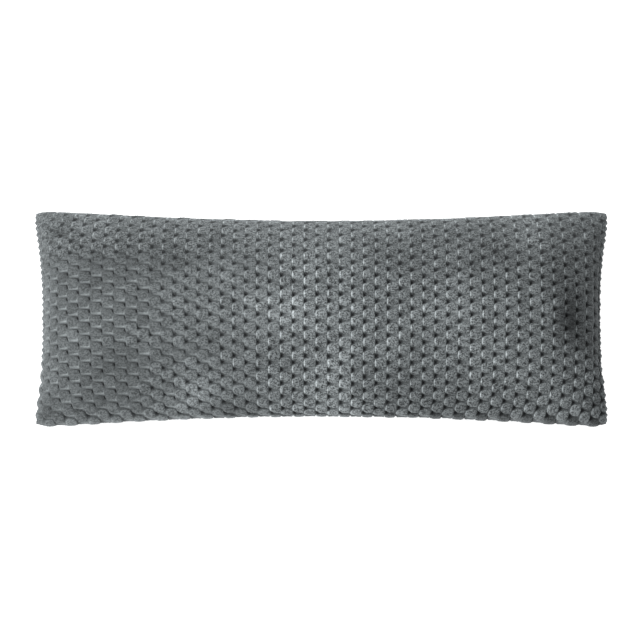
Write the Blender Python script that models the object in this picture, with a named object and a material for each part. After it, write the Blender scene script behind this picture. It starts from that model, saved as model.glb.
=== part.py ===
"""Body pillow in honeycomb plush, filled and lying on its back.

The cover is a front and a back panel of the same plush, sewn together along all four sides and
turned, so the filled pillow is one closed form: a crowned top, an underside that the floor
flattens, drawn-in sides and thin corners. The honeycomb of raised tufts is worked into the
surface. The tufts stand in columns along the length, every second column half a tuft lower.

+X runs along the pillow, +Y across it, +Z up. The origin is on the floor, under the middle.
"""
import bpy
import numpy as np

# The seam line, in metres
CORNER_LENGTH = 1.336      # from corner to corner along the pillow
CORNER_WIDTH = 0.522       # from corner to corner across it
END_DRAW_IN = 0.023        # how far an end seam curves in at its middle
SIDE_DRAW_IN = 0.0285      # how far a long seam curves in at its middle
END_CURVE = (2.5, 1.5)     # inner and outer power of the curve of an end seam
SIDE_CURVE = (2.0, 1.3)    # the same for a long seam
CORNER_SPREAD = 0.004      # the upper corners reach out by this much more, and the lower ones less

# Heights, in metres
SEAM_HEIGHT = 0.077        # the seam above the floor, away from the corners
CORNER_DROOP = 0.004       # how far the thin corners hang below that
CROWN_HEIGHT = 0.103       # the top above the seam
BELLY_DEPTH = 0.098        # the underside below the seam, were there no floor
CROWN_ALONG = 10.0         # power of the section along the pillow: full almost to its ends
CROWN_ACROSS = 1.9         # power of the section across it: close to an ellipse
SQUASH_HEIGHT = 0.012      # tufts closer to the floor than this are pressed flatter

# The tufts
COLUMNS = 51               # along the pillow
ROWS = 17                  # across it
ROW_GATHER = 2.0           # how soon the rows even out towards the ends, where the seam gathers them
GROOVE_DEPTH = 0.005       # the grooves between the tufts, below their tops
SCALLOP_DEPTH = 0.003      # the gaps between the tufts along the seam

# Tufts lie on a lattice whose step is a sixth of a column's pitch by half a row's pitch
STEPS_PER_COLUMN = 6
STEPS_PER_ROW = 2
LAST_ALONG = COLUMNS * STEPS_PER_COLUMN
LAST_ACROSS = ROWS * STEPS_PER_ROW
HEXAGON = ((4, 0), (2, 1), (-2, 1), (-4, 0), (-2, -1), (2, -1))

# Where the filling has shifted and the top sinks a little: the place as a share of the half
# length and the half width, then the reach and the depth in metres
HOLLOW_COLUMNS = ("along", "across", "reach_along", "reach_across", "depth")
HOLLOWS = (
    (-0.53, 0.00, 0.110, 0.190, 0.007),
    (-0.70, -0.45, 0.085, 0.060, 0.005),
    (0.34, 0.10, 0.100, 0.200, 0.008),
    (0.22, -0.72, 0.120, 0.050, 0.005),
    (0.62, -0.62, 0.085, 0.055, 0.005),
    (0.74, 0.15, 0.070, 0.130, 0.005),
)

TOP = 1
SEAM = 0
UNDERSIDE = -1
ARC_SAMPLES = 601
CLOTH_STEP = 0.05          # lattice steps over which a slope is measured
PLUSH_COLOUR = (0.145, 0.158, 0.158, 1.0)
PLUSH_ROUGHNESS = 0.95


def draw_in(place, curve):
    """How much of a seam's draw-in applies at a place from -1 to 1: (1 - |place|^a)^b."""
    inner, outer = curve
    return (1.0 - np.abs(place) ** inner) ** outer


def fullness(place, power):
    """Height of the filled section from 1 on the crown to 0 on the seam: (1 - |place|^p)^(1/2)."""
    return np.sqrt(np.clip(1.0 - np.abs(place) ** power, 0.0, 1.0))


def spread_evenly(cloth, half_span, height, power):
    """Where steps that are even along the cloth's arc come to lie between the two seams.

    The arc over the section is measured in short chords, and each step from -1 to 1 is read
    off at its share of the whole arc.
    """
    place = np.sin(np.linspace(-0.5 * np.pi, 0.5 * np.pi, ARC_SAMPLES))
    chords = np.hypot(np.diff(half_span * place), np.diff(height * fullness(place, power)))
    arc = np.concatenate(([0.0], np.cumsum(chords)))
    return np.interp(cloth, 2.0 * arc / arc[-1] - 1.0, place)


def hollow_depth(x, y):
    """Sum of the soft hollows, each a bell exp(-(dx/reach)^2 - (dy/reach)^2) of its depth."""
    depth = np.zeros_like(x)
    for row in HOLLOWS:
        hollow = dict(zip(HOLLOW_COLUMNS, row))
        dx = (x - hollow["along"] * 0.5 * CORNER_LENGTH) / hollow["reach_along"]
        dy = (y - hollow["across"] * 0.5 * CORNER_WIDTH) / hollow["reach_across"]
        depth += hollow["depth"] * np.exp(-dx ** 2 - dy ** 2)
    return depth


def filled_form(along, across, side):
    """Points of the filled cover, without its tufts, for lattice places on one side.

    Both places are turned into cloth coordinates from -1 to 1. They are spread evenly over the
    crowned section where the pillow is full, and lie evenly in the plane where it is flat. The
    rows even out towards the ends by (1 - u^2)^gather.
    """
    u = 2.0 * along / LAST_ALONG - 1.0
    v = 2.0 * across / LAST_ACROSS - 1.0
    half_length = 0.5 * CORNER_LENGTH - END_DRAW_IN
    half_width = 0.5 * CORNER_WIDTH - SIDE_DRAW_IN
    full_u = spread_evenly(u, half_length, CROWN_HEIGHT, CROWN_ALONG)
    full_v = spread_evenly(v, half_width, CROWN_HEIGHT, CROWN_ACROSS)
    share_u = u + (full_u - u) * fullness(full_v, CROWN_ACROSS)
    share_v = v + (full_v - v) * (1.0 - full_u ** 2) ** ROW_GATHER
    x = share_u * (0.5 * CORNER_LENGTH - END_DRAW_IN * draw_in(share_v, END_CURVE)
                   + CORNER_SPREAD * share_v)
    y = share_v * (0.5 * CORNER_WIDTH - SIDE_DRAW_IN * draw_in(share_u, SIDE_CURVE))
    full = fullness(share_u, CROWN_ALONG) * fullness(share_v, CROWN_ACROSS)
    seam = SEAM_HEIGHT - CORNER_DROOP * np.abs(share_u) ** 8 * np.abs(share_v) ** 4
    top = seam + (CROWN_HEIGHT - hollow_depth(x, y)) * full
    under = seam - BELLY_DEPTH * full
    z = np.where(side == TOP, top, np.where(side == SEAM, seam, under))
    return np.stack((x, y, z), axis=-1)


def outward(along, across, side):
    """Unit normals of the filled form: the cross product of its slopes along and across."""
    def slope(step_along, step_across):
        after = filled_form(np.clip(along + step_along, 0, LAST_ALONG),
                            np.clip(across + step_across, 0, LAST_ACROSS), side)
        before = filled_form(np.clip(along - step_along, 0, LAST_ALONG),
                             np.clip(across - step_across, 0, LAST_ACROSS), side)
        return after - before
    normal = np.cross(slope(CLOTH_STEP, 0.0), slope(0.0, CLOTH_STEP))
    normal *= np.where(side == UNDERSIDE, -1.0, 1.0)[:, None]
    return normal / np.linalg.norm(normal, axis=1)[:, None]


def is_seam(along, across):
    """Whether a lattice place lies on one of the four seams."""
    return along in (0, LAST_ALONG) or across in (0, LAST_ACROSS)


def tuft_triangles():
    """The honeycomb of one panel as triangles of lattice places, and the tufts' centres.

    A tuft is a fan of up to six triangles round its centre. Half tufts lie against the long
    seams in every second column, and short triangles close the two ends. The seam cuts off the
    four corners there, which rounds them.
    """
    triangles = []
    centres = set()
    for column in range(COLUMNS):
        staggered = column % 2
        for row in range(ROWS + staggered):
            middle = (STEPS_PER_COLUMN * column + STEPS_PER_COLUMN // 2,
                      STEPS_PER_ROW * row + 1 - staggered)
            centres.add(middle)
            corners = [(min(max(middle[0] + dx, 0), LAST_ALONG), middle[1] + dy)
                       for dx, dy in HEXAGON]
            for first, second in zip(corners, corners[1:] + corners[:1]):
                if 0 <= first[1] <= LAST_ACROSS and 0 <= second[1] <= LAST_ACROSS:
                    triangles.append((middle, first, second))
    for groove in range(STEPS_PER_ROW, LAST_ACROSS, STEPS_PER_ROW):
        for low in (groove - 1, groove):
            triangles.append(((1, groove), (0, low + 1), (0, low)))
            triangles.append(((LAST_ALONG - 1, groove), (LAST_ALONG, low), (LAST_ALONG, low + 1)))
    return triangles, centres


def raise_tufts(places, sides, centres):
    """Points of the plush: the tufts' tops on the filled form and the grooves sunk below it."""
    along = np.array([place[0] for place in places], dtype=float)
    across = np.array([place[1] for place in places], dtype=float)
    side = np.array(sides)
    points = filled_form(along, across, side)
    on_top = np.array([place in centres for place in places])
    at_end = (along == 0) | (along == LAST_ALONG)
    on_top |= at_end & (across % STEPS_PER_ROW == 1)
    depth = np.where(side == SEAM, SCALLOP_DEPTH, GROOVE_DEPTH) * ~on_top
    press = np.clip(points[:, 2] / SQUASH_HEIGHT, 0.0, 1.0)
    depth *= np.where(side == UNDERSIDE, press, 1.0)
    inward = -outward(along, across, side)
    seam_pull = np.stack((-np.sign(points[:, 0]) * at_end,
                          -np.sign(points[:, 1]) * ~at_end,
                          np.zeros(len(points))), axis=-1)
    inward = np.where((side == SEAM)[:, None], seam_pull, inward)
    points += inward * depth[:, None]
    points[:, 2] = np.maximum(points[:, 2], 0.0)
    return points


def pillow_mesh():
    """The top and the underside with their tufts, sharing the places on the seam."""
    triangles, centres = tuft_triangles()
    index = {}
    faces = []
    for side in (TOP, UNDERSIDE):
        for triangle in triangles:
            face = []
            for place in triangle[::side]:
                key = (place, SEAM if is_seam(*place) else side)
                face.append(index.setdefault(key, len(index)))
            faces.append(face)
    points = raise_tufts([place for place, _ in index], [side for _, side in index], centres)
    mesh = bpy.data.meshes.new("pillow")
    mesh.from_pydata(points.tolist(), [], faces)
    mesh.validate()
    return mesh


def plush():
    """The short plush of the cover, a mid grey with a trace of blue."""
    material = bpy.data.materials.new("grey_plush")
    material.use_nodes = True
    shader = material.node_tree.nodes["Principled BSDF"]
    shader.inputs["Base Color"].default_value = PLUSH_COLOUR
    shader.inputs["Roughness"].default_value = PLUSH_ROUGHNESS
    shader.inputs["Metallic"].default_value = 0.0
    return material


def build():
    for old in list(bpy.data.objects):
        bpy.data.objects.remove(old)
    pillow = bpy.data.objects.new("pillow", pillow_mesh())
    pillow.data.materials.append(plush())
    bpy.context.scene.collection.objects.link(pillow)


build()
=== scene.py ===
# %% [markdown]
# # A body pillow in honeycomb plush
#
# The real thing is a long pillow, 1.34 m by 0.52 m, in a cover of grey short-pile plush. The pile
# is sculpted into a honeycomb of raised tufts. A front and a back panel are sewn together round
# the edge and filled with loose fibre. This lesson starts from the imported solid, which has the
# right size and place, and puts a finely modelled cover in its stead.

import bpy
import numpy as np
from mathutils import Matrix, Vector


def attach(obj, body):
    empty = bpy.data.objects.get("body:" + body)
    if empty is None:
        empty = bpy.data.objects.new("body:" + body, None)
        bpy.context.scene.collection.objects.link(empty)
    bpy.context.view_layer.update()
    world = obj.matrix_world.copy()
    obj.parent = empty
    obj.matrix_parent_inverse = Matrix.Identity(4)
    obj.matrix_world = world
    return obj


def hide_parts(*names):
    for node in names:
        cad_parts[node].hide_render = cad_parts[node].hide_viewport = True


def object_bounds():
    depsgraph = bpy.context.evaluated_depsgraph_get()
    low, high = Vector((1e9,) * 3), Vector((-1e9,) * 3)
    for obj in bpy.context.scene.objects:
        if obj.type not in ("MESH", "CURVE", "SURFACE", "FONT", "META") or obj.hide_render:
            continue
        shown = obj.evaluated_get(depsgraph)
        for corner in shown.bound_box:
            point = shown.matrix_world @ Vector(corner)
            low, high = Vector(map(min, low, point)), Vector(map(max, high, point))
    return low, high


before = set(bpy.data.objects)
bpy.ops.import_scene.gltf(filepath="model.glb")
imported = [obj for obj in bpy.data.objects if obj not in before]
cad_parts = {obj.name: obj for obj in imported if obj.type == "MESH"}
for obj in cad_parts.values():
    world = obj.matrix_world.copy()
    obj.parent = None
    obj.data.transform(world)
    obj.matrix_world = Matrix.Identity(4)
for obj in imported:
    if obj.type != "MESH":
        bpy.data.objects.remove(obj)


def as_lists(box):
    """The two corners of a box as plain lists of numbers."""
    return [[float(x) for x in corner] for corner in box]


cad_box = as_lists(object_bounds())
length, width, thickness = (high - low for low, high in zip(*cad_box))
print(f"The solid is {length:.3f} m long, {width:.3f} m wide and {thickness:.3f} m thick")

# %% [markdown]
# ## The honeycomb as a lattice of cloth places
#
# Plush of this kind is made with its tufts on an even lattice: 51 columns along the pillow and 17
# rows across it, every second column half a tuft lower. The tufts could be laid straight on the
# filled form, but there they would change their size. So a place on the cloth is given by two
# numbers, `a` counted in columns and `b` counted in rows, and a tuft keeps its share of the cloth
# wherever the filling pushes it. `a` runs from the left end, and `b` from the lower long seam.

# %% The lattice
COLUMNS = 51
ROWS = 17


def tuft_centres():
    """Centres (column + 1/2, row + 1/2), with the odd columns half a row lower.

    An odd column has one tuft more, because it starts and ends with half a tuft in the seam.
    One more column beyond each end gives the slices that the end seams cut off.
    """
    column, row = np.meshgrid(np.arange(-1, COLUMNS + 1), np.arange(ROWS + 1), indexing="ij")
    odd = column % 2 == 1
    kept = odd | (row < ROWS)
    return np.stack((column + 0.5, row + 0.5 - 0.5 * odd), axis=-1)[kept]


centres = tuft_centres()
print(f"{len(centres)} tufts and slices of tufts on each panel")

# %% [markdown]
# ## The filled form
#
# Filling pushes the two panels apart until the cloth is as round as the seam allows: nearly an
# ellipse across the pillow, and full almost to its ends along it. The seam is drawn in between
# the corners, and the corners stay thin. The form could be sculpted or simulated from flat cloth,
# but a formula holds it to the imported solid's size, so a simulation is left to add only the slack
# afterwards.

# %% The form's sizes, in metres, and its powers
MILLIMETRE = 0.001
# The seam line from corner to corner, how far it curves in, and how the corners differ
CORNER_LENGTH = 1.336
CORNER_WIDTH = 0.522
END_DRAW_IN = 0.023
SIDE_DRAW_IN = 0.0285
END_CURVE = (2.5, 1.5)
SIDE_CURVE = (2.0, 1.3)
CORNER_SPREAD = 0.004
CORNER_CUT = 0.0075
CUT_LEAN = 0.1
CUT_POWERS = (30.0, 11.0)
# The heights, and how full the sections are along and across
SEAM_HEIGHT = 0.077
CORNER_DROOP = 0.004
DROOP_POWERS = (8, 4)
CROWN_HEIGHT = 0.103
BELLY_DEPTH = 0.098
CROWN_ALONG = 10.0
CROWN_ACROSS = 1.9
ROW_GATHER = 2.0
ARC_SAMPLES = 601
# Where the filling has shifted: the place in shares of the half length and half width, then metres
HOLLOW_COLUMNS = ("along", "across", "reach_along", "reach_across", "depth")
HOLLOWS = (
    (-0.53, 0.00, 0.110, 0.190, 0.007),
    (-0.70, -0.45, 0.085, 0.060, 0.005),
    (0.34, 0.10, 0.100, 0.200, 0.008),
    (0.22, -0.72, 0.120, 0.050, 0.005),
    (0.62, -0.62, 0.085, 0.055, 0.005),
    (0.74, 0.15, 0.070, 0.130, 0.005),
)
# Folds near the corners: the middle, the direction, the reach along and beside it, and the depth
FOLD_NAMES = ("x", "y", "degrees", "reach", "width", "depth")
FOLDS = (
    (-0.612, 0.196, -38.0, 0.042, 0.011, 0.0065),
    (-0.585, 0.228, -14.0, 0.040, 0.010, 0.0050),
    (-0.619, 0.182, 21.0, 0.032, 0.008, 0.0060),
    (0.606, 0.205, 222.0, 0.040, 0.012, 0.0050),
    (0.626, -0.205, 52.0, 0.034, 0.008, 0.0050),
    (-0.618, -0.205, 40.0, 0.038, 0.011, 0.0040),
)


# %% The form's formulas
def from_middle(a, b):
    """Cloth places as u and v, which run from -1 to 1: 2 a / columns - 1 and 2 b / rows - 1."""
    return 2.0 * a / COLUMNS - 1.0, 2.0 * b / ROWS - 1.0


def draw_in(place, curve):
    """How much of a seam's draw-in applies at a place from -1 to 1: (1 - |place|^a)^b."""
    inner, outer = curve
    return (1.0 - np.abs(place) ** inner) ** outer


def fullness(place, power):
    """Height of the section, 1 on the crown and 0 on the seam: (1 - |place|^p)^(1/2)."""
    return np.sqrt(np.clip(1.0 - np.abs(place) ** power, 0.0, 1.0))


def spread_evenly(cloth, half_span, height, power):
    """Where steps even along the arc of a section lie between its seams: arc^-1(share of arc)."""
    place = np.sin(np.linspace(-0.5 * np.pi, 0.5 * np.pi, ARC_SAMPLES))
    chords = np.hypot(np.diff(half_span * place), np.diff(height * fullness(place, power)))
    arc = np.concatenate(([0.0], np.cumsum(chords)))
    return np.interp(cloth, 2.0 * arc / arc[-1] - 1.0, place)


def corner_folds(x, y):
    """Depth of the folds near the corners: sum of depth * exp(-(beside/width)^2 - (on/reach)^2).

    `on` and `beside` are the distances from a fold's middle along it and square to it.
    """
    depth = np.zeros_like(x)
    for row in FOLDS:
        fold = dict(zip(FOLD_NAMES, row))
        turn = np.radians(fold["degrees"])
        dx, dy = x - fold["x"], y - fold["y"]
        on = dx * np.cos(turn) + dy * np.sin(turn)
        beside = dy * np.cos(turn) - dx * np.sin(turn)
        depth += fold["depth"] * np.exp(-(beside / fold["width"]) ** 2 - (on / fold["reach"]) ** 2)
    return depth


def bells(x, y, table, names):
    """Sum of soft bells, each its last value * exp(-(dx/reach)^2 - (dy/reach)^2)."""
    total = np.zeros_like(x)
    for row in table:
        bell = dict(zip(names, row))
        dx = (x - bell["along"] * 0.5 * CORNER_LENGTH) / bell["reach_along"]
        dy = (y - bell["across"] * 0.5 * CORNER_WIDTH) / bell["reach_across"]
        total += bell[names[-1]] * np.exp(-dx ** 2 - dy ** 2)
    return total


def filled_form(a, b, side):
    """Points of the filled cover for cloth places (a, b) on side 1 (top) or -1 (underside).

    Where the pillow is full, places are spread evenly over its arc, where it is flat they stay
    even in the plane, and between the two they are mixed by the fullness. Rows even out towards
    the ends by (1 - u^2)^gather. The height is seam + crown * fullness along * fullness across.
    The corners are pulled in by cut * |u|^p * |v|^q, the lower ones a little more, and hang by
    droop * |u|^p * |v|^q.
    """
    u, v = from_middle(a, b)
    full_u = spread_evenly(u, 0.5 * CORNER_LENGTH - END_DRAW_IN, CROWN_HEIGHT, CROWN_ALONG)
    full_v = spread_evenly(v, 0.5 * CORNER_WIDTH - SIDE_DRAW_IN, CROWN_HEIGHT, CROWN_ACROSS)
    share_u = u + (full_u - u) * fullness(full_v, CROWN_ACROSS)
    share_v = v + (full_v - v) * (1.0 - full_u ** 2) ** ROW_GATHER
    cut = np.abs(share_u) ** CUT_POWERS[0] * np.abs(share_v) ** CUT_POWERS[1]
    cut = cut * CORNER_CUT * (1.0 - CUT_LEAN * share_v)
    x = share_u * (0.5 * CORNER_LENGTH - END_DRAW_IN * draw_in(share_v, END_CURVE)
                   + CORNER_SPREAD * share_v - cut)
    y = share_v * (0.5 * CORNER_WIDTH - SIDE_DRAW_IN * draw_in(share_u, SIDE_CURVE) - cut)
    full = fullness(share_u, CROWN_ALONG) * fullness(share_v, CROWN_ACROSS)
    droop = CORNER_DROOP * np.abs(share_u) ** DROOP_POWERS[0] * np.abs(share_v) ** DROOP_POWERS[1]
    seam = SEAM_HEIGHT - droop
    top = seam + (CROWN_HEIGHT - bells(x, y, HOLLOWS, HOLLOW_COLUMNS)) * full
    top = top - corner_folds(x, y) * np.sqrt(full)
    under = seam - BELLY_DEPTH * full
    return np.stack((x, y, np.where(side > 0, top, under)), axis=-1)


crown = filled_form(np.array([0.5 * COLUMNS]), np.array([0.5 * ROWS]), 1)[0]
print(f"The crown is {crown[2]:.3f} m above the floor")

# %% [markdown]
# ## Letting the filling push the cloth
#
# A formula is too even for cloth. Noise would be uneven in the wrong places, so Blender's cloth
# pushes a coarse copy of the cover out for twenty steps with a little pressure. Its cloth is a
# little longer than its seam, so it dents along the seams and puckers towards the corners, as a
# filled pillow does. The formula already has the size of the form, so only this unevenness is
# kept. The copy is a grid of quads in the cloth's own places, so its movement can be read back at
# any place (a, b) of the lattice.

# %% Coarse cloth
CELLS = (98, 34)
START_INSET = 0.002
PRESSURE = 4.0
FRAMES = 20
CLOTH_SLACK = 0.01
TENSION = 40.0
SHEAR = TENSION / 3.0
BENDING = 20.0
# What is kept: the movement less its average over many passes, softened, a share and no more metres
EVEN_PASSES = 120
SOFT_PASSES = 3
KEPT_SHARE = 0.35
MOVE_LIMIT = 0.005
TINY = 1e-12


def shell_faces(g):
    """Quads of a grid g of point numbers: corners (i, j), (i+1, j), (i+1, j+1), (i, j+1)."""
    return np.stack((g[:-1, :-1], g[1:, :-1], g[1:, 1:], g[:-1, 1:]), axis=-1).reshape(-1, 4)


def coarse_shell():
    """Point numbers of both panels, which share the seam, and every point's (a, b, side)."""
    across, down = CELLS
    top = np.arange((across + 1) * (down + 1)).reshape(across + 1, down + 1)
    under = top.copy()
    inner = (slice(1, -1), slice(1, -1))
    under[inner] = top.size + np.arange(under[inner].size).reshape(under[inner].shape)
    a, b = np.meshgrid(np.linspace(0, COLUMNS, across + 1), np.linspace(0, ROWS, down + 1),
                       indexing="ij")
    places = np.stack((np.concatenate((a.ravel(), a[inner].ravel())),
                       np.concatenate((b.ravel(), b[inner].ravel())),
                       np.repeat((1.0, -1.0), (a.size, a[inner].size))), axis=-1)
    return top, under, places


def new_mesh_object(name, points, faces):
    """A mesh object at the origin, with its place in its points."""
    mesh = bpy.data.meshes.new(name)
    mesh.from_pydata(points.tolist(), [], faces.tolist())
    mesh.update()
    piece = bpy.data.objects.new(name, mesh)
    bpy.context.scene.collection.objects.link(piece)
    return piece


def points_of(mesh):
    """A mesh's points as an array of rows x, y, z."""
    flat = np.empty(3 * len(mesh.vertices), dtype=np.float32)
    mesh.vertices.foreach_get("co", flat)
    return flat.reshape(-1, 3).astype(float)


def averaged(field, passes):
    """A grid after some passes of (2 * itself + its four neighbours) / 6."""
    for _ in range(passes):
        wide = np.pad(field, ((1, 1), (1, 1), (0, 0)), mode="edge")
        field = (2 * field + wide[:-2, 1:-1] + wide[2:, 1:-1] + wide[1:-1, :-2] + wide[1:-1, 2:]) / 6
    return field


def unevenness(moved):
    """What the cloth adds to the form: a share of its movement without its wide, even part."""
    fine = KEPT_SHARE * averaged(moved - averaged(moved, EVEN_PASSES), SOFT_PASSES)
    length = np.linalg.norm(fine, axis=-1)[..., None]
    return fine * np.minimum(1.0, MOVE_LIMIT / np.maximum(length, TINY))


def pushed_out():
    """How each coarse point of the two panels dents under pressure, with the seam held still."""
    top, under, coarse = coarse_shell()
    form = filled_form(coarse[:, 0], coarse[:, 1], coarse[:, 2])
    middle = np.array([0.0, 0.0, SEAM_HEIGHT])
    held = np.unique(np.concatenate((top[0], top[-1], top[:, 0], top[:, -1])))
    inset = np.full((len(form), 1), START_INSET)
    inset[held] = 0.0
    start = form - inset * (form - middle) / np.linalg.norm(form - middle, axis=1)[:, None]
    quads = np.concatenate((shell_faces(top), shell_faces(under)[:, ::-1]))
    copy = new_mesh_object("coarse_cover", start, quads)
    copy.vertex_groups.new(name="seam").add(held.tolist(), 1.0, "REPLACE")
    settings = copy.modifiers.new("cloth", "CLOTH").settings
    settings.vertex_group_mass = "seam"
    settings.use_pressure = True
    settings.uniform_pressure_force = PRESSURE
    settings.effector_weights.gravity = 0.0
    settings.shrink_min = -CLOTH_SLACK
    settings.tension_stiffness = settings.compression_stiffness = TENSION
    settings.shear_stiffness = SHEAR
    settings.bending_stiffness = BENDING
    scene = bpy.context.scene
    for number in range(1, FRAMES + 1):
        scene.frame_set(number)
    evaluated = copy.evaluated_get(bpy.context.evaluated_depsgraph_get())
    moved = points_of(evaluated.data) - form
    scene.frame_set(1)
    bpy.data.objects.remove(copy)
    dents = unevenness(moved[top]), unevenness(moved[under])
    depth = np.linalg.norm(dents[0], axis=-1) / MILLIMETRE
    print(f"The top dents {depth.mean():.1f} mm on average and {depth.max():.1f} mm at most")
    return dents


movement = pushed_out()


# %% Read the movement between the coarse points
def spline_weights(t):
    """The four weights of a cubic B-spline at share t of a cell; they add up to 1."""
    return np.stack(((1 - t) ** 3, 3 * t ** 3 - 6 * t ** 2 + 4, -3 * t ** 3 + 3 * t ** 2 + 3 * t + 1,
                     t ** 3)) / 6.0


def moved_at(a, b, field):
    """The movement at cloth places (a, b): sum over 4 x 4 coarse points of weight * movement."""
    along = np.clip(a / COLUMNS * CELLS[0], 0, CELLS[0])
    across = np.clip(b / ROWS * CELLS[1], 0, CELLS[1])
    i = np.minimum(along.astype(int), CELLS[0] - 1)
    j = np.minimum(across.astype(int), CELLS[1] - 1)
    wi = spline_weights(along - i)
    wj = spline_weights(across - j)
    total = np.zeros(a.shape + (3,))
    for p in range(4):
        for q in range(4):
            point = field[np.clip(i + p - 1, 0, CELLS[0]), np.clip(j + q - 1, 0, CELLS[1])]
            total += (wi[p] * wj[q])[..., None] * point
    return total


def cover(a, b, side):
    """The filled cover without tufts: the form plus the movement, no lower than the floor."""
    moved = np.where((side > 0)[..., None], moved_at(a, b, movement[0]), moved_at(a, b, movement[1]))
    points = filled_form(a, b, side) + moved
    points[..., 2] = np.maximum(points[..., 2], 0.0)
    return points


# %% [markdown]
# ## One tuft as rings
#
# A tuft is a bundle of pile fibres with a nearly flat top. Seen from above it is almost a square
# tile, and its right edge is straight. Its left edge is half as tall, because both corners there
# are cut away, and each cut leaves a pit behind the column before. Each tuft is made the same
# way: a centre and a few rings of points round it. A ring's reach goes from 0 at the centre to 1
# on the rim of the top, and from there to 2 on the outline that the tuft shares with its
# neighbours. Under the pillow, where it lies flat, fewer rings are enough.
#
# The pile has a nap. It lies to the right over most of the pillow, where every tuft has a
# bright left wall and a dark pit at its right: besides the relief, the wall is painted lighter,
# partly for the fibres' lighter sides and partly as a painted highlight, and the pit gets painted
# shade. At the left it was brushed upwards, and there the tufts' top edges get painted shade and
# their bottom edges are painted lighter, partly for the fibres' sides and partly as painted light.
# A table for each of the two, and one for the band between them, gives the rim, the groove's depth
# and the pile's lightness, painted light and shade included, from place to place round a tuft.
# Plain mixing of only two tables would wash the pits out of that band.

# %% Round a tuft, for each way in which the nap lies
OUTLINE_POINTS = 24
# Outline point, then its place along and across, counted in columns and rows from the centre
SHARED_OUTLINE = ((0, 2 / 3, 0.0), (2, 0.5, 0.25), (4, 0.5, 0.5),
                  (8, -1 / 3, 0.5), (10, -0.5, 0.25), (12, -0.5, 0.0))
# Outline point, rim along and across, groove's depth in mm, lightness of rim, wall and groove:
# painted shade in grooves and pits, and lighter walls that are partly painted highlight.
# The nap to the right is the same above and below, so its table stops at the left corner.
NAP_RIGHT = (
    (0, 0.475, 0.000, 9.0, 0.95, 0.15, 0.15),
    (1, 0.475, 0.120, 5.5, 0.98, 0.33, 0.34),
    (2, 0.472, 0.230, 1.6, 1.00, 0.90, 0.92),
    (3, 0.458, 0.335, 1.3, 1.00, 0.92, 1.30),
    (4, 0.440, 0.415, 0.8, 1.00, 0.88, 1.60),
    (5, 0.275, 0.425, 2.2, 0.98, 0.76, 0.90),
    (6, 0.080, 0.422, 3.0, 0.98, 0.78, 0.87),
    (7, -0.110, 0.412, 4.6, 0.98, 0.58, 0.60),
    (8, -0.262, 0.350, 9.0, 1.00, 0.17, 0.16),
    (9, -0.375, 0.290, 5.5, 1.05, 0.62, 0.34),
    (10, -0.430, 0.210, 1.6, 1.15, 2.50, 0.90),
    (12, -0.430, 0.000, 0.8, 1.35, 4.40, 1.70),
)
NAP_BETWEEN = (
    (0, 0.480, 0.000, 8.5, 1.00, 0.16, 0.15),
    (1, 0.475, 0.120, 5.0, 0.98, 0.42, 0.40),
    (2, 0.460, 0.220, 2.4, 0.94, 0.58, 0.80),
    (3, 0.435, 0.325, 1.6, 0.84, 0.40, 1.05),
    (4, 0.370, 0.398, 1.0, 0.78, 0.34, 1.45),
    (5, 0.230, 0.415, 2.0, 0.78, 0.32, 0.98),
    (6, 0.080, 0.415, 2.5, 0.80, 0.36, 0.92),
    (7, -0.100, 0.405, 4.0, 0.90, 0.55, 0.62),
    (8, -0.262, 0.355, 8.5, 1.00, 0.38, 0.15),
    (9, -0.370, 0.290, 3.6, 1.02, 0.75, 0.62),
    (10, -0.440, 0.210, 1.6, 1.15, 1.40, 0.88),
    (12, -0.440, 0.000, 1.0, 1.35, 2.00, 1.45),
    (13, -0.440, -0.110, 1.6, 1.25, 1.60, 1.05),
    (14, -0.430, -0.215, 2.4, 1.10, 1.10, 0.80),
    (15, -0.370, -0.290, 5.0, 1.00, 0.70, 0.40),
    (16, -0.270, -0.345, 8.5, 1.00, 0.35, 0.15),
    (17, -0.110, -0.385, 4.0, 1.00, 0.92, 0.62),
    (18, 0.080, -0.390, 2.5, 1.03, 1.25, 0.92),
    (20, 0.410, -0.390, 1.0, 1.08, 1.50, 1.45),
    (22, 0.462, -0.220, 1.6, 1.04, 1.15, 0.88),
    (23, 0.475, -0.120, 3.6, 1.00, 0.70, 0.62),
    (24, 0.480, 0.000, 8.5, 1.00, 0.16, 0.15),
)
NAP_UP = (
    (0, 0.560, 0.000, 1.6, 1.00, 0.94, 0.96),
    (1, 0.492, 0.120, 2.6, 0.99, 0.80, 0.78),
    (2, 0.455, 0.212, 6.5, 0.88, 0.18, 0.18),
    (3, 0.430, 0.312, 4.5, 0.76, 0.16, 0.42),
    (4, 0.372, 0.385, 1.5, 0.72, 0.18, 1.40),
    (5, 0.240, 0.405, 2.0, 0.74, 0.18, 1.35),
    (6, 0.080, 0.410, 2.2, 0.78, 0.24, 1.15),
    (7, -0.100, 0.402, 1.8, 0.88, 0.56, 1.05),
    (8, -0.265, 0.375, 1.6, 0.95, 0.88, 0.98),
    (9, -0.385, 0.305, 1.2, 0.97, 0.90, 0.98),
    (10, -0.452, 0.210, 1.0, 1.00, 0.95, 1.00),
    (12, -0.455, 0.000, 1.5, 1.02, 1.05, 1.40),
    (13, -0.450, -0.110, 4.5, 0.99, 0.75, 0.42),
    (14, -0.430, -0.220, 6.5, 0.99, 0.55, 0.18),
    (15, -0.390, -0.310, 2.6, 1.03, 1.15, 0.78),
    (16, -0.285, -0.350, 1.6, 1.06, 1.70, 0.98),
    (18, 0.080, -0.345, 2.2, 1.10, 2.30, 1.15),
    (20, 0.395, -0.345, 1.5, 1.20, 2.80, 1.40),
    (22, 0.450, -0.205, 1.0, 1.14, 2.00, 1.00),
    (23, 0.490, -0.110, 1.2, 1.05, 1.35, 0.98),
    (24, 0.560, 0.000, 1.6, 1.00, 0.94, 0.96),
)


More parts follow.
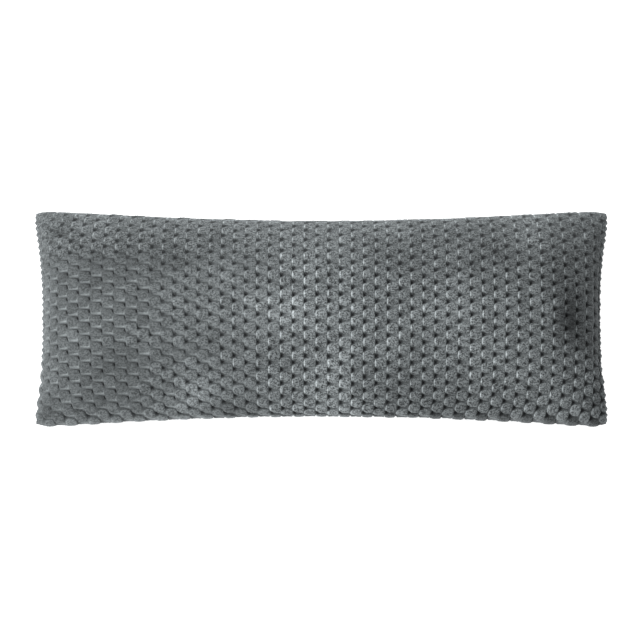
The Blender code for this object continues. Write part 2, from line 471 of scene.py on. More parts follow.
def round_tuft(k, table):
    """A table's columns at outline points k, by straight lines between its rows.

    A table that ends at the left corner gives the upper half, and the lower half mirrors it.
    """
    rows = np.array(table)
    half = rows[-1, 0] < OUTLINE_POINTS
    at = np.minimum(k, OUTLINE_POINTS - k) if half else k
    columns = np.stack([np.interp(at, rows[:, 0], column) for column in rows[:, 1:].T], axis=-1)
    if half:
        columns[2 * k > OUTLINE_POINTS, 1] *= -1.0
    return columns


# %% The rings
# The number of points and the reach of each ring, from the centre out
TUFT_RINGS = {
    "fine": ((12, 0.58), (24, 0.95), (24, 1.20), (24, 2.0)),
    "plain": ((12, 0.85), (24, 1.35), (24, 2.0)),
    "flat": ((12, 0.95), (24, 2.0)),
}


def ring_triangles(inner, outer):
    """Triangles between two rings: each inner point gets its share of the outer points as a fan.

    The outer ring has as many points or twice as many. A single inner point gets them all.
    """
    if len(inner) == 1:
        return np.column_stack((np.repeat(inner, len(outer)), outer, np.roll(outer, -1)))
    near, far = np.arange(len(inner)), outer.reshape(len(inner), -1)
    fan = np.column_stack((far, np.roll(far, -1, axis=0)[:, 0]))
    parts = [np.column_stack((inner[near], fan[:, i], fan[:, i + 1])) for i in range(far.shape[1])]
    parts.append(np.column_stack((inner[near], fan[:, -1], np.roll(inner, -1))))
    return np.concatenate(parts)


def one_tuft(rings):
    """A tuft's points (da, db), each one's outline number k and reach, and its triangles.

    A point lies at reach * rim on the top, and at rim + (reach - 1) * (shared - rim) on the wall.
    """
    places, numbers, reaches, faces = [np.zeros((1, 2))], [np.zeros(1, int)], [np.zeros(1)], []
    before = np.zeros(1, int)
    for count, reach in rings:
        k = np.arange(count) * OUTLINE_POINTS // count
        shared, rim = round_tuft(k, SHARED_OUTLINE), round_tuft(k, NAP_RIGHT)[:, :2]
        wall = max(reach - 1.0, 0.0)
        places.append(min(reach, 1.0) * rim + wall * (shared - rim))
        numbers.append(k)
        reaches.append(np.full(count, reach))
        ring = before[-1] + 1 + np.arange(count)
        faces.append(ring_triangles(before, ring))
        before = ring
    return tuple(np.concatenate(part) for part in (places, numbers, reaches, faces))


tuft_patterns = {name: one_tuft(rings) for name, rings in TUFT_RINGS.items()}
for name, pattern in tuft_patterns.items():
    print(f"A {name} tuft has {len(pattern[0])} points and {len(pattern[3])} triangles")

# %% [markdown]
# ## Laying the honeycomb
#
# The maker cuts both panels from one roll of plush and sews them edge to edge, so the seam cuts
# through tufts. Here the tufts are laid on the lattice, the points that neighbours share are
# merged, and whatever would pass the seam is held on it. Each panel could have a hem of its own,
# but none shows. Both get the same tufts along the seam, so they can share its points, and the
# cover is one closed surface.

# %% Lay out the tufts
# Tufts of the underside that are further than this from the seam, along and across, are simpler
FLAT_MARGIN = (2.8, 4.2)
PLAIN_MARGIN = (1.2, 1.2)
# Places are equal when they are in whole steps, and a triangle under this many has no area
PLACE_STEPS = 1200
LEAST_STEPS = 1.0


def pattern_names(side):
    """Which pattern each tuft takes: fine on top and round the seam, plainer underneath."""
    names = np.full(len(centres), "fine")
    if side < 0:
        margin = np.minimum(centres, (COLUMNS, ROWS) - centres)
        names = np.where((margin > PLAIN_MARGIN).all(axis=1), "plain", names)
        names = np.where((margin > FLAT_MARGIN).all(axis=1), "flat", names)
    return names


def lay_tufts(names):
    """All tufts' places, outline numbers, reaches and tuft numbers, and their triangles."""
    places, numbers, reaches, tufts, faces = [], [], [], [], []
    start = 0
    for name, (own_places, own_numbers, own_reaches, own_faces) in tuft_patterns.items():
        chosen = np.flatnonzero(names == name)
        size = len(own_places)
        places.append((centres[chosen][:, None] + own_places).reshape(-1, 2))
        numbers.append(np.tile(own_numbers, len(chosen)))
        reaches.append(np.tile(own_reaches, len(chosen)))
        tufts.append(np.repeat(chosen, size))
        shift = start + size * np.arange(len(chosen))
        faces.append((shift[:, None, None] + own_faces).reshape(-1, 3))
        start += size * len(chosen)
    return tuple(np.concatenate(part) for part in (places, numbers, reaches, tufts, faces))


def lattice_mesh(side):
    """One panel with its shared points merged: places that round to the same whole steps are one.

    Triangles without area are left out, and so are those at the corners whose three points are
    all on the seam, because both panels would have them in the same place.
    """
    places, numbers, reaches, tufts, faces = lay_tufts(pattern_names(side))
    places = np.clip(places, 0.0, (COLUMNS, ROWS))
    keys, first, merged = np.unique(np.round(places * PLACE_STEPS).astype(int), axis=0,
                                    return_index=True, return_inverse=True)
    faces = merged.ravel()[faces]
    corner = keys[faces].astype(float)
    one, two = corner[:, 1] - corner[:, 0], corner[:, 2] - corner[:, 0]
    empty = np.abs(one[:, 0] * two[:, 1] - one[:, 1] * two[:, 0]) < LEAST_STEPS
    place = places[first]
    on_seam = ((place == 0) | (place == (COLUMNS, ROWS))).any(axis=1)
    cut_corner = on_seam[faces].all(axis=1)
    return {"place": place, "number": numbers[first], "reach": reaches[first],
            "tuft": tufts[first], "on_seam": on_seam, "faces": faces[~(empty | cut_corner)]}


panels = {side: lattice_mesh(side) for side in (1, -1)}
for side, panel in panels.items():
    print(f"Side {side}: {len(panel['place'])} points, {panel['on_seam'].sum()} on the seam, "
          f"{len(panel['faces'])} triangles")

# %% [markdown]
# ## Grooves, pits and nap
#
# Between the tufts the pile is short and one looks down into the dark, and on the tops it lies
# flat and catches the light. Displacement from a picture could show this too, but the pits are
# too deep and narrow for it, so every point gets its own depth and a lightness that paints shade
# into the grooves and pits and highlights onto the lit walls. All three tables are read for every
# point, and the nap at its tuft says how much of each it takes. Towards the lower seam and the
# right end the tufts stand apart and grow round, with painted shade in the gaps between them.

# %% Where the nap turns, and where the tufts change
# u runs from -1 to 1 along the pillow and v across it. A pair is where a change begins and ends,
# counted in -u or -v where it goes to the left or down.
TURNS_BETWEEN = (-0.30, -0.06)
TURNS_UP = (-0.64, -0.50)
UP_FROM_ROW = (0.3, 1.3)
NOT_UP_ACROSS = (0.38, 0.62)
NOT_UP_SHARE = 0.9
NAP_JITTER = 2.0
NAP_SEED = 5
# Where tufts stand apart: along the lower seam, more so at the right, at the right end, in patches
OPEN_LOWER = (0.70, 0.95)
OPEN_ALONG = (-0.4, 0.4)
OPEN_AT_LEFT = 0.20
OPEN_ADDED = 0.50
OPEN_RIGHT = (0.93, 1.00)
OPEN_AT_RIGHT = 0.6
OPEN_NAMES = ("along", "across", "reach_along", "reach_across", "share")
OPEN_PATCHES = ((0.96, -0.62, 0.075, 0.075, 0.8), (0.97, 0.30, 0.030, 0.090, 0.4))


def smooth_step(x, low, high):
    """0 below low, 1 above high, and 3 t^2 - 2 t^3 between them."""
    t = np.clip((x - low) / (high - low), 0.0, 1.0)
    return t * t * (3.0 - 2.0 * t)


def brushed_up(a, b):
    """How much the nap at (a, b) lies upwards, from 0 (to the right) to 1, with a band of 1/2.

    It is the mean of two steps towards the left, and fades towards the upper seam.
    """
    u, v = from_middle(a, b)
    between, up = 1.0 - smooth_step(u, *TURNS_BETWEEN), 1.0 - smooth_step(u, *TURNS_UP)
    up = up * smooth_step(b, *UP_FROM_ROW)
    return 0.5 * (between + up) * (1.0 - NOT_UP_SHARE * smooth_step(v, *NOT_UP_ACROSS))


def openness(a, b):
    """How far apart the tufts stand, from 0 on the crown to 1: the greater seam's share + patches."""
    u, v = from_middle(a, b)
    lower = smooth_step(-v, *OPEN_LOWER) * (OPEN_AT_LEFT + OPEN_ADDED * smooth_step(u, *OPEN_ALONG))
    near_seam = np.maximum(lower, OPEN_AT_RIGHT * smooth_step(u, *OPEN_RIGHT))
    patch = bells(0.5 * CORNER_LENGTH * u, 0.5 * CORNER_WIDTH * v, OPEN_PATCHES, OPEN_NAMES)
    return np.clip(near_seam + patch, 0.0, 1.0)


def mixed_naps(number, up):
    """The tables' columns for each point: from right to between over the first half of up, then up.

    It is right + min(2 up, 1) * (between - right) + max(2 up - 1, 0) * (upwards - between).
    """
    right, between, upwards = (round_tuft(number, table)
                               for table in (NAP_RIGHT, NAP_BETWEEN, NAP_UP))
    share = 2.0 * up[:, None]
    return (right + np.minimum(share, 1.0) * (between - right)
            + np.maximum(share - 1.0, 0.0) * (upwards - between))


# %% Depth round a tuft
DOME = 0.0003
DOME_POWER = 4
WALL_POWER = 0.6
# Open gaps are deeper by this many metres, and by this share less for each mm that they have
OPEN_GROOVE = 0.0042
OPEN_LESS = 0.08
# The left end is worn, and the tufts are shallower where they turn over to the upper seam
WORN_ALONG = (0.84, 0.99)
WORN_SHARE = 0.55
SHALLOW_ACROSS = (0.15, 0.70)
SHALLOW_SHARE = 0.72


def worn_share(panel):
    """What wear at the left end leaves of depth and contrast: 1 - share * step(-u)."""
    return 1.0 - WORN_SHARE * smooth_step(-from_middle(*panel["place"].T)[0], *WORN_ALONG)


def tuft_depth(panel):
    """Each point's depth below the tops, in metres.

    The top is a low dome, depth = dome * reach^4, and the wall goes down from there to the
    groove as share^0.6. Wear and the turn to the upper seam make all of it shallower.
    """
    groove_mm = panel["nap"][:, 2]
    groove = MILLIMETRE * groove_mm + OPEN_GROOVE * panel["open"] * (1.0 - OPEN_LESS * groove_mm)
    wall = np.clip(panel["reach"] - 1.0, 0.0, 1.0)
    dome = DOME * np.minimum(panel["reach"], 1.0) ** DOME_POWER
    depth = dome + (groove - DOME) * wall ** WALL_POWER
    v = from_middle(*panel["place"].T)[1]
    return depth * (worn_share(panel) * (1.0 - SHALLOW_SHARE * smooth_step(v, *SHALLOW_ACROSS)))


# %% Lightness round a tuft
# The reach at which the top's own lightness ends, and those of the rim, the wall and the groove
TONE_REACHES = (0.6, 0.95, 1.20, 2.0)
TONE_STEPS = (0, 1, 2, 3)
# Where tufts stand apart the walls are evened, and painted shade darkens walls and gaps
OPEN_EVENS_WALL = 0.6
OPEN_DARKENS_WALL = 0.30
OPEN_DARKENS_GROOVE = 0.55
# What is lighter than the tops is painted highlight, weakest towards the upper seam
LEAST_PAINTED_HIGHLIGHT = 0.66
PAINTED_HIGHLIGHT_ACROSS = (-0.75, -0.10)
TONE_RANGE = (0.08, 4.2)
UP_DARKER = 0.20


def pile_tone_and_painted_light(panel):
    """Each point's lightness, 1 on the tops: by straight lines from top to rim, wall and groove,
    with painted shade in grooves, pits and open gaps and painted highlights on the walls.

    Its difference from 1 is then weakened by wear and, for the painted highlights, towards the
    upper seam.
    """
    reach, apart = panel["reach"], panel["open"]
    rim, wall, groove = panel["nap"][:, 3:].T
    wall = 1.0 + (wall - 1.0) * (1.0 - OPEN_EVENS_WALL * apart) - OPEN_DARKENS_WALL * apart
    groove = groove * (1.0 - OPEN_DARKENS_GROOVE * apart)
    steps = np.stack((np.ones(len(reach)), rim, wall, groove))
    at = np.interp(reach, TONE_REACHES, TONE_STEPS)
    low = np.minimum(at.astype(int), TONE_STEPS[-2])
    number = np.arange(len(reach))
    tone = steps[low, number] + (steps[low + 1, number] - steps[low, number]) * (at - low)
    v = from_middle(*panel["place"].T)[1]
    painted_highlight = LEAST_PAINTED_HIGHLIGHT + (1.0 - LEAST_PAINTED_HIGHLIGHT) * smooth_step(-v, *PAINTED_HIGHLIGHT_ACROSS)
    tone = 1.0 + (tone - 1.0) * np.where(tone > 1.0, painted_highlight, 1.0) * worn_share(panel)
    return np.clip(tone, *TONE_RANGE) * (1.0 - UP_DARKER * panel["up"])


# %% Both for every point
jitter = np.random.default_rng(NAP_SEED).normal(0.0, NAP_JITTER, len(centres))
for side, panel in panels.items():
    own_a, own_b = centres[panel["tuft"]].T
    panel["up"] = brushed_up(own_a + jitter[panel["tuft"]], own_b)
    panel["open"] = openness(*panel["place"].T)
    panel["nap"] = mixed_naps(panel["number"], panel["up"])
    panel["depth"], panel["tone"] = tuft_depth(panel), pile_tone_and_painted_light(panel)
    print(f"Side {side}: tufts up to {panel['depth'].max() / MILLIMETRE:.1f} mm deep")

# %% [markdown]
# ## Raising the tufts from the cover
#
# Every point starts on the filled cover. It sinks along the surface's own normal, which is the
# cross product of the slopes along the cloth's two directions, and the tops lean with the nap.
# Cut pile is never quite even, so each tuft gets its own small shift, height and lightness. The
# seam pulls the cloth in between the tufts, which leaves a row of small bulges round the edge.
# Soft bells make patches lighter or darker: partly pile brushed by hands and packing, partly
# painted light and shade on soft lumps, and painted shade at the right end, which turns away from
# the light. The folds get painted shade by their depth.

# %% How the tufts vary
# Heights and leans are in metres. Round tops, the shift and the step are in columns and rows.
CLOTH_STEP = 0.05
LEAN_RIGHT = (0.0007, 0.0001)
LEAN_UP = (0.0002, -0.0003)
ROUND_TOP = (0.44, 0.43)
SHIFT = 0.018
HEIGHT_VARIATION = 0.0004
PILE_VARIATION = 0.0002
PILE_REACH = 1.2
PRESSED_HEIGHT = 0.012
CLOTH_SEED = 11
# Lightness: from tuft to tuft, and painted light and shade on the half tufts in the lower seam,
# lighter at its left and darker towards its right
TONE_VARIATION = 0.07
SEAM_TUFT_PAINTED_LIGHT = (1.10, 0.42)
SEAM_TUFTS_ALONG = (0.3, 0.7)
BRUSHED_AND_PAINTED_LIGHT_SHARE = 1.15
BRIGHTEST = 3.8
# Painted shade in the corner folds, for each metre of their depth
FOLD_SHADE = 45.0
# How much calmer the fibre ends look, and the reach over which a groove begins
CALM_WHERE_UP = 0.45
CALM_IN_GROOVES = 0.7
GROOVE_REACH = (0.8, 1.4)

# %% The seam's bulges, in metres, columns and rows
SEAM_CREASE = 0.0016
CREASE_REACH = 0.20
SEAM_SCALLOP = 0.20
NEAR_WAVE = 0.0026
FAR_WAVE = 0.0008
FIRST_BULGE = 1.5
NARROW_WAVE = 0.0046
WIDE_WAVE = 0.0062
WIDE_ROWS = 5
FORWARD_ROWS = (3.0, 7.0)
CORNER_ROWS = (0.0, 1.2)
END_REACH = 1.2
SIDE_REACH = 0.6

# %% Patches lighter (above 0) or darker (below 0): brushed pile, and painted light and shade
BRUSHED_AND_PAINTED_LIGHT_NAMES = ("along", "across", "reach_along", "reach_across", "lighter")
BRUSHED_AND_PAINTED_LIGHT = (
    # The darkest bells at the right end are painted shade where the surface turns from the light
    (-0.62, 0.58, 0.130, 0.075, -0.20),
    (-0.93, 0.75, 0.090, 0.060, -0.14),
    (-0.68, -0.48, 0.072, 0.040, -0.14),
    (-0.33, -0.84, 0.045, 0.025, -0.20),
    (0.26, 0.44, 0.080, 0.045, -0.16),
    (0.25, -0.67, 0.093, 0.050, -0.14),
    (0.46, -0.73, 0.055, 0.040, -0.12),
    (0.65, -0.76, 0.035, 0.030, -0.12),
    (0.60, 0.58, 0.170, 0.085, -0.20),
    (0.86, 0.12, 0.056, 0.180, -0.40),
    (-0.45, -0.80, 0.055, 0.065, 0.24),
    (0.05, -0.80, 0.085, 0.060, 0.28),
    (-0.39, 0.32, 0.055, 0.040, 0.13),
    (-0.14, 0.00, 0.110, 0.055, 0.26),
    (0.06, -0.42, 0.060, 0.060, 0.18),
    (0.44, 0.02, 0.070, 0.045, 0.13),
    (0.73, 0.87, 0.060, 0.030, 0.20),
    (-0.79, 0.20, 0.090, 0.090, -0.15),
    (-0.46, 0.47, 0.110, 0.035, -0.13),
    (-0.50, -0.10, 0.030, 0.030, -0.10),
    (-0.13, -0.10, 0.105, 0.042, 0.14),
    (-0.40, -0.70, 0.045, 0.045, 0.20),
    (0.03, -0.88, 0.050, 0.030, 0.10),
    (-0.78, -0.62, 0.110, 0.040, -0.08),
    (0.30, -0.62, 0.090, 0.040, -0.07),
    (0.68, 0.25, 0.150, 0.100, -0.10),
    (0.97, 0.08, 0.038, 0.240, -0.42),
    (0.82, -0.12, 0.045, 0.045, -0.12),
    (-0.49, 0.17, 0.035, 0.040, 0.12),
    (-0.36, 0.45, 0.050, 0.030, -0.08),
    (0.12, 0.45, 0.045, 0.030, -0.08),
    (0.86, -0.20, 0.030, 0.060, -0.14),
    (-0.32, 0.68, 0.080, 0.035, -0.10),
    (0.38, 0.68, 0.080, 0.035, -0.07),
    (0.71, 0.67, 0.050, 0.030, 0.20),
    (0.93, -0.30, 0.030, 0.060, -0.14),
    (0.99, -0.10, 0.028, 0.300, -0.24),
    (0.90, -0.68, 0.060, 0.045, -0.12),
    (0.85, 0.68, 0.030, 0.025, 0.08),
    (-0.38, -0.65, 0.050, 0.035, 0.08),
    (0.01, -0.83, 0.030, 0.020, 0.08),
    (0.60, -0.10, 0.040, 0.030, -0.07),
    (0.60, 0.45, 0.045, 0.025, -0.07),
    (0.85, -0.10, 0.030, 0.050, -0.10),
    (0.38, -0.72, 0.140, 0.045, -0.07),
)

# %% Raise the tufts
rng = np.random.default_rng(CLOTH_SEED)


def surface_frame(a, b, side):
    """Unit slopes along the columns' and rows' directions, and the outward normal: their cross."""
    def slope(da, db):
        after = cover(np.clip(a + da, 0, COLUMNS), np.clip(b + db, 0, ROWS), side)
        before = cover(np.clip(a - da, 0, COLUMNS), np.clip(b - db, 0, ROWS), side)
        step = after - before
        return step / np.maximum(np.linalg.norm(step, axis=-1), TINY)[..., None]
    along, across = slope(CLOTH_STEP, 0.0), slope(0.0, CLOTH_STEP)
    normal = np.cross(along, across) * side[..., None]
    return along, across, normal / np.linalg.norm(normal, axis=-1)[..., None]


def place_on_cloth(panel):
    """Each point's own place: its tuft's small shift, a rounder top where tufts stand apart.

    A top's point goes from the rim that the tuft was laid out with to its own nap's rim, and
    from there to an ellipse by the openness.
    """
    tuft, reach, number = panel["tuft"], panel["reach"], panel["number"]
    loose = np.clip(2.0 - reach, 0.0, 1.0)[:, None]
    angle = 2.0 * np.pi * number / OUTLINE_POINTS
    ellipse = np.stack((ROUND_TOP[0] * np.cos(angle), ROUND_TOP[1] * np.sin(angle)), axis=-1)
    rim = panel["nap"][:, :2]
    target = rim + panel["open"][:, None] * (ellipse - rim)
    moved = (target - round_tuft(number, NAP_RIGHT)[:, :2]) * np.minimum(reach, 1.0)[:, None]
    moved = (moved + rng.normal(0.0, SHIFT, (len(centres), 2))[tuft]) * loose
    moved[panel["on_seam"]] = 0.0
    return np.clip(panel["place"] + moved, 0.0, (COLUMNS, ROWS)).T


def seam_wave(a, b):
    """How far the cloth near a seam steps back between its bulges, along x and along y.

    It is wave * (1 - cos) / 2 along the long seams, with a bulge in every second column, and at
    the ends, with one in every half row. The left end's lowest rows have wider, rounder bulges,
    wave * (1 - |cos|). The narrow ones of the ends stand forward by half their wave. All fade by
    exp(-(distance / reach)^2), and the ends' also at the corners.
    """
    to_end, to_side = np.minimum(a, COLUMNS - a), np.minimum(b, ROWS - b)
    at_left = a < 0.5 * COLUMNS
    by_columns = 0.5 - 0.5 * np.cos(np.pi * (a - FIRST_BULGE))
    by_rows = np.where(at_left & (b < WIDE_ROWS), WIDE_WAVE * (1.0 - np.abs(np.cos(np.pi * b))),
                       NARROW_WAVE * (0.5 - 0.5 * np.cos(4.0 * np.pi * b)))
    forward = 0.5 * NARROW_WAVE * np.where(at_left, smooth_step(b, *FORWARD_ROWS), 1.0)
    by_rows = (by_rows - forward) * smooth_step(to_side, *CORNER_ROWS)
    wave = np.where(b < 0.5 * ROWS, NEAR_WAVE, FAR_WAVE)
    along_y = wave * by_columns * np.exp(-(to_side / SIDE_REACH) ** 2)
    return by_rows * np.exp(-(to_end / END_REACH) ** 2), along_y


def tones_of_tufts():
    """Each tuft's own lightness: a random one, times painted light and shade in the lower seam."""
    tone = rng.normal(1.0, TONE_VARIATION, len(centres))
    share_along = centres[:, 0] / COLUMNS
    in_seam = np.interp(share_along, SEAM_TUFTS_ALONG, SEAM_TUFT_PAINTED_LIGHT)
    return tone * np.where(centres[:, 1] == 0.0, in_seam, 1.0)


def pulled_in(points, base, normal, a, b, panel):
    """Points after the seam has pulled them in: by the crease beside it, its scallops and waves.

    The crease is crease * exp(-(distance / reach)^2) along the normal, or outwards on the seam.
    """
    on_seam = panel["on_seam"]
    edge = np.minimum(np.minimum(b, ROWS - b), np.minimum(a, COLUMNS - a))
    crease = SEAM_CREASE * np.exp(-(edge / CREASE_REACH) ** 2)
    out = np.stack((np.where((a == 0) | (a == COLUMNS), np.sign(base[:, 0]), 0.0),
                    np.where((b == 0) | (b == ROWS), np.sign(base[:, 1]), 0.0),
                    np.zeros(len(base))), axis=-1)
    out[~on_seam] = normal[~on_seam]
    back = np.stack(seam_wave(a, b), axis=-1)
    points = points - out * (crease + SEAM_SCALLOP * panel["depth"] * on_seam)[:, None]
    points[:, :2] -= np.sign(base[:, :2]) * back
    return points


def shaded_tone(panel, base, tuft_tone):
    """Lightness = min(pile tone * tuft's own * patches, brightest) * fold's painted shade."""
    top = np.clip(2.0 - panel["reach"], 0.0, 1.0)
    tone = panel["tone"] * (tuft_tone * top + np.clip(panel["reach"] - 1.0, 0.0, 1.0))
    brushed_and_painted_light = 1.0 + BRUSHED_AND_PAINTED_LIGHT_SHARE * bells(base[:, 0], base[:, 1], BRUSHED_AND_PAINTED_LIGHT, BRUSHED_AND_PAINTED_LIGHT_NAMES)
    # Painted shade in the folds
    shaded = 1.0 - FOLD_SHADE * corner_folds(base[:, 0], base[:, 1])
    return np.minimum(tone * brushed_and_painted_light, BRIGHTEST) * shaded


def panel_points(side, panel):
    """Points of one panel and their lightness: cover - normal * depth + lean, then the seam's pull.

    The underside's tufts are pressed flat by step(height) near the floor.
    """
    count, reach, on_seam = len(panel["place"]), panel["reach"], panel["on_seam"]
    tuft_height = rng.normal(0.0, HEIGHT_VARIATION, len(centres))[panel["tuft"]]
    tuft_tone = tones_of_tufts()[panel["tuft"]]
    a, b = place_on_cloth(panel)
    sides = np.full(count, float(side))
    base = cover(a, b, sides)
    along, across, normal = surface_frame(a, b, sides)
    pressed = smooth_step(base[:, 2], 0.0, PRESSED_HEIGHT) if side < 0 else np.ones(count)
    uneven = rng.normal(0.0, PILE_VARIATION, count) * (reach < PILE_REACH)
    loose = np.clip(2.0 - reach, 0.0, 1.0) * ~on_seam
    depth = (panel["depth"] - tuft_height * loose + uneven) * pressed
    up = panel["up"][:, None]
    lean = (np.array(LEAN_RIGHT) * (1.0 - up) + np.array(LEAN_UP) * up) * (loose * pressed)[:, None]
    points = base - normal * (depth * ~on_seam)[:, None]
    points += along * lean[:, :1] + across * lean[:, 1:]
    points = pulled_in(points, base, normal, a, b, panel)
    points[:, 2] = np.maximum(points[:, 2], 0.0)
    return points, shaded_tone(panel, base, tuft_tone)


# %% [markdown]
# ## One closed cover
#
# The maker turns the sewn cover right side out, so no edge of either panel shows. The two meshes
# could be joined by Blender's merge by distance, but that might also close a narrow groove. So the
# underside looks its seam points up among the top's by their places on the cloth.

# %% Join the panels
CODE_STEPS = 100000
UV_MARGIN = 0.01


def seam_codes(panel):
    """One whole number for each point's place, (a in steps) * 100000 + (b in steps)."""
    fine = np.round(panel["place"] * PLACE_STEPS).astype(np.int64)
    return fine[:, 0] * CODE_STEPS + fine[:, 1]


def join_numbers(top, under):
    """The underside's point numbers in the joined mesh, where it shares the top's seam points.

    The top's seam places are sorted, and each of the underside's is looked up among them.
    """
    seam, own = under["on_seam"], ~under["on_seam"]
    of_seam = np.flatnonzero(top["on_seam"])
    codes = seam_codes(top)[of_seam]
    order = np.argsort(codes)
    wanted = seam_codes(under)[seam]
    found = np.searchsorted(codes[order], wanted)
    assert (codes[order][found] == wanted).all()
    number = np.empty(len(seam), int)
    number[seam] = of_seam[order][found]
    number[own] = len(top["place"]) + np.arange(own.sum())
    return number


def lay_out_uv(piece, top, under):
    """The cloth places as UV, the underside in the lower half: margin + size * (a, b) / (51, 17)."""
    corners = np.concatenate((top["place"][top["faces"]], under["place"][under["faces"][:, ::-1]]))
    corners = corners.reshape(-1, 2) / (COLUMNS, ROWS)
    start = np.repeat((0.5 + UV_MARGIN, UV_MARGIN), (3 * len(top["faces"]), 3 * len(under["faces"])))
    uv = np.stack((UV_MARGIN + (1.0 - 2.0 * UV_MARGIN) * corners[:, 0],
                   start + (0.5 - 2.0 * UV_MARGIN) * corners[:, 1]), axis=-1)
    layer = piece.data.uv_layers.new(name="OFBake")
    layer.uv.foreach_set("vector", uv.astype(np.float32).ravel())


def build_cover():
    """Both panels in one closed mesh, with cloth places and lightness, painted light included."""
    top, under = panels[1], panels[-1]
    top_points, top_tone = panel_points(1, top)
    under_points, under_tone = panel_points(-1, under)
    own = ~under["on_seam"]
    turned = join_numbers(top, under)[under["faces"][:, ::-1]]
    points = np.concatenate((top_points, under_points[own]))
    tone = np.concatenate((top_tone, under_tone[own]))
    up, reach = (np.concatenate((top[name], under[name][own])) for name in ("up", "reach"))
    in_groove = smooth_step(reach, *GROOVE_REACH)
    speckle = (1.0 - CALM_WHERE_UP * up) * (1.0 - CALM_IN_GROOVES * in_groove)
    used, faces = np.unique(np.concatenate((top["faces"], turned)), return_inverse=True)
    piece = new_mesh_object("plush_cover", points[used], faces.reshape(-1, 3))
    piece.data.shade_smooth()
    # The pile's lightness carries its painted shade and painted highlights
    for name, values in (("pile_tone_and_painted_light", tone), ("pile_speckle", speckle)):
        attribute = piece.data.attributes.new(name, "FLOAT", "POINT")
        attribute.data.foreach_set("value", values[used].astype(np.float32))
    lay_out_uv(piece, top, under)
    return piece


plush_cover = build_cover()
print(f"The cover has {len(plush_cover.data.vertices)} points and "
      f"{len(plush_cover.data.polygons)} triangles")

# %% [markdown]
# ## The plush
#
# Grey polyester pile is darkest where one looks down between its fibres and lightest where the
# fibres lie on their side. Hairs would show that too, but it would take millions, so the colour
# follows the lightness that each point was given, with its painted shade and painted highlights.
# Noise on object coordinates stands for the fibre ends, in two sizes, and also moves the normal. A
# wide, weak noise mottles the whole cover. A little sheen lights the pile at glancing angles.

# %% Plush material
PILE_COLOUR = (0.128, 0.140, 0.1435)
FIBRE_SCALES = (200.0, 400.0)
FIBRE_STRETCH = (0.8, 1.0, 1.0)
FIBRE_NOISE = (0.75, 1.25)
FIBRE_SWING = 0.70
FIBRE_HEIGHT = 0.0012
FIBRE_BUMP = 0.5
MOTTLE_SCALE = 11.0
MOTTLE_NOISE = (0.3, 0.7)
MOTTLE_SWING = 0.10


def add(tree, kind, inputs=(), **settings):
    """A new shader node with its options, and its inputs set to values or joined to outputs."""
    node = tree.nodes.new("ShaderNode" + kind)
    for name, value in settings.items():
        setattr(node, name, value)
    for socket, value in dict(inputs).items():
        if isinstance(value, bpy.types.NodeSocket):
            tree.links.new(value, node.inputs[socket])
        else:
            node.inputs[socket].default_value = value
    return node


def noise(tree, vector, scale, detail):
    """A noise texture's value, from 0 to 1 round 1/2."""
    return add(tree, "TexNoise", {"Vector": vector, "Scale": scale, "Detail": detail}).outputs[0]


def ranged(tree, value, ends, low, high):
    """A value mapped by a straight line, so that its two ends come to low and high."""
    return add(tree, "MapRange", {"Value": value, "From Min": ends[0], "From Max": ends[1],
                                  "To Min": low, "To Max": high}).outputs[0]


def plush_material():
    """Colour = pile colour * lightness * fibre noise * mottle, with the fibre noise as bump."""
    material = bpy.data.materials.new("grey_plush")
    material.use_nodes = True
    tree = material.node_tree
    shader = tree.nodes["Principled BSDF"]
    place = add(tree, "TexCoord").outputs["Object"]
    # The lightness attribute holds painted shade in the pits and painted highlights on the walls
    tone = add(tree, "Attribute", attribute_name="pile_tone_and_painted_light").outputs["Fac"]
    speckle = add(tree, "Attribute", attribute_name="pile_speckle").outputs["Fac"]
    lying = add(tree, "VectorMath", {0: place, 1: FIBRE_STRETCH}, operation="MULTIPLY").outputs[0]
    coarse, fine = (noise(tree, lying, scale, 1.0) for scale in FIBRE_SCALES)
    fibres = add(tree, "Math", {0: coarse, 1: fine}, operation="ADD").outputs[0]
    swing = ranged(tree, fibres, FIBRE_NOISE, -FIBRE_SWING, FIBRE_SWING)
    fibre_light = add(tree, "Math", {0: swing, 1: speckle, 2: 1.0}, operation="MULTIPLY_ADD")
    mottle = ranged(tree, noise(tree, place, MOTTLE_SCALE, 2.0), MOTTLE_NOISE,
                    1.0 - MOTTLE_SWING, 1.0 + MOTTLE_SWING)
    light = add(tree, "Math", {0: tone, 1: fibre_light.outputs[0]}, operation="MULTIPLY").outputs[0]
    light = add(tree, "Math", {0: light, 1: mottle}, operation="MULTIPLY").outputs[0]
    colour = add(tree, "VectorMath", {0: PILE_COLOUR, "Scale": light}, operation="SCALE")
    tree.links.new(colour.outputs[0], shader.inputs["Base Color"])
    bump = add(tree, "Bump", {"Strength": FIBRE_BUMP, "Distance": FIBRE_HEIGHT, "Height": fibres})
    tree.links.new(bump.outputs[0], shader.inputs["Normal"])
    shader.inputs["Roughness"].default_value = 0.95
    shader.inputs["Specular IOR Level"].default_value = 0.2
    shader.inputs["Sheen Weight"].default_value = 0.25
    shader.inputs["Sheen Roughness"].default_value = 0.45
    shader.inputs["Sheen Tint"].default_value = (0.85, 0.92, 0.95, 1.0)
    return material


plush_cover.data.materials.append(plush_material())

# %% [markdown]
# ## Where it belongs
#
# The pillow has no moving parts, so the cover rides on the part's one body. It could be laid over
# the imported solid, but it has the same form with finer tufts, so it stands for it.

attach(plush_cover, "root")
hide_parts("pillow")

# %% [markdown]
# ## Floor, light and camera
#
# The pillow lies on a plain white table that is lit a little from below, as catalogue pictures
# are taken, so hardly any shadow shows. A soft light stands above it at the left, and the white
# surroundings fill the shadows. A light from straight above would be simpler, but it would hide
# the tufts. The camera looks down through a long lens from far away, a little from the pillow's
# lower long side.

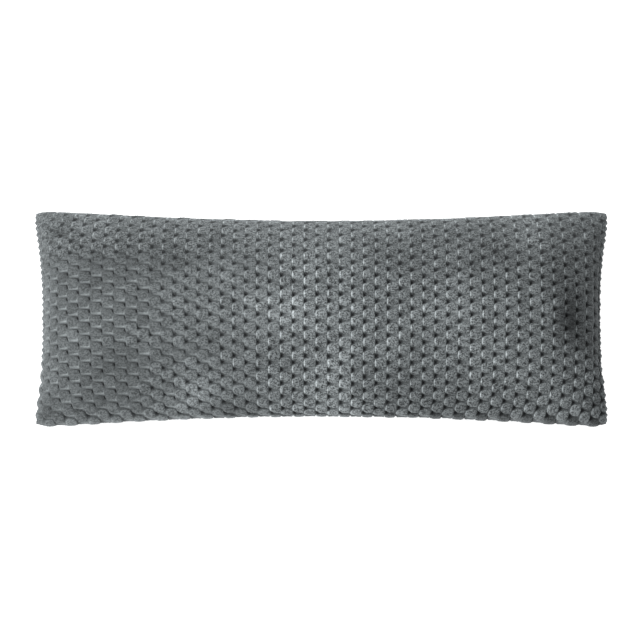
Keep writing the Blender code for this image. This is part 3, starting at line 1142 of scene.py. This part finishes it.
# %% Floor
FLOOR_SIZE = 60.0
FLOOR_DROP = 0.0005
floor_corners = 0.5 * FLOOR_SIZE * np.array(((-1, -1, 0), (1, -1, 0), (1, 1, 0), (-1, 1, 0)))
floor = new_mesh_object("floor", floor_corners - (0, 0, FLOOR_DROP), np.array(((0, 1, 2, 3),)))
floor_material = bpy.data.materials.new("white_floor")
floor_material.use_nodes = True
floor_shader = floor_material.node_tree.nodes["Principled BSDF"]
floor_shader.inputs["Base Color"].default_value = (0.9, 0.9, 0.9, 1.0)
floor_shader.inputs["Roughness"].default_value = 0.9
floor_shader.inputs["Specular IOR Level"].default_value = 0.1
floor_shader.inputs["Emission Color"].default_value = (1.0, 1.0, 1.0, 1.0)
floor_shader.inputs["Emission Strength"].default_value = 0.7
floor.data.materials.append(floor_material)


# %% Light
ROOM_LIGHT = 0.76


def soft_light(name, place, target, size, watts):
    """A square area light of that size at place, which looks at target."""
    data = bpy.data.lights.new(name, "AREA")
    data.size = size
    data.energy = watts
    light = bpy.data.objects.new(name, data)
    light.location = place
    direction = Vector(target) - Vector(place)
    light.rotation_euler = direction.to_track_quat("-Z", "Y").to_euler()
    bpy.context.scene.collection.objects.link(light)


soft_light("left_window", place=(-3.1, 1.0, 3.9), target=(0.0, 0.0, 0.1), size=1.8, watts=190.0)
world = bpy.data.worlds.new("white_room")
world.use_nodes = True
world.node_tree.nodes["Background"].inputs["Color"].default_value = (1.0, 1.0, 1.0, 1.0)
world.node_tree.nodes["Background"].inputs["Strength"].default_value = ROOM_LIGHT
bpy.context.scene.world = world
bpy.context.scene.view_settings.view_transform = "Standard"

# %% Camera
TILT_DEGREES = 14.0
DISTANCE = 9.0
PICTURE_SPAN = 1.480
SENSOR = 36.0
LOOK_AT = (-0.0030, -0.0040, SEAM_HEIGHT)


def add_camera():
    """A long lens that sees PICTURE_SPAN at the seam's height, tilted off straight down."""
    tilt = np.radians(TILT_DEGREES)
    data = bpy.data.cameras.new("camera")
    data.sensor_width = SENSOR
    data.lens = SENSOR * DISTANCE / PICTURE_SPAN
    camera = bpy.data.objects.new("camera", data)
    camera.location = np.array(LOOK_AT) + DISTANCE * np.array((0.0, -np.sin(tilt), np.cos(tilt)))
    camera.rotation_euler = (tilt, 0.0, 0.0)
    bpy.context.scene.collection.objects.link(camera)
    bpy.context.scene.camera = camera


add_camera()
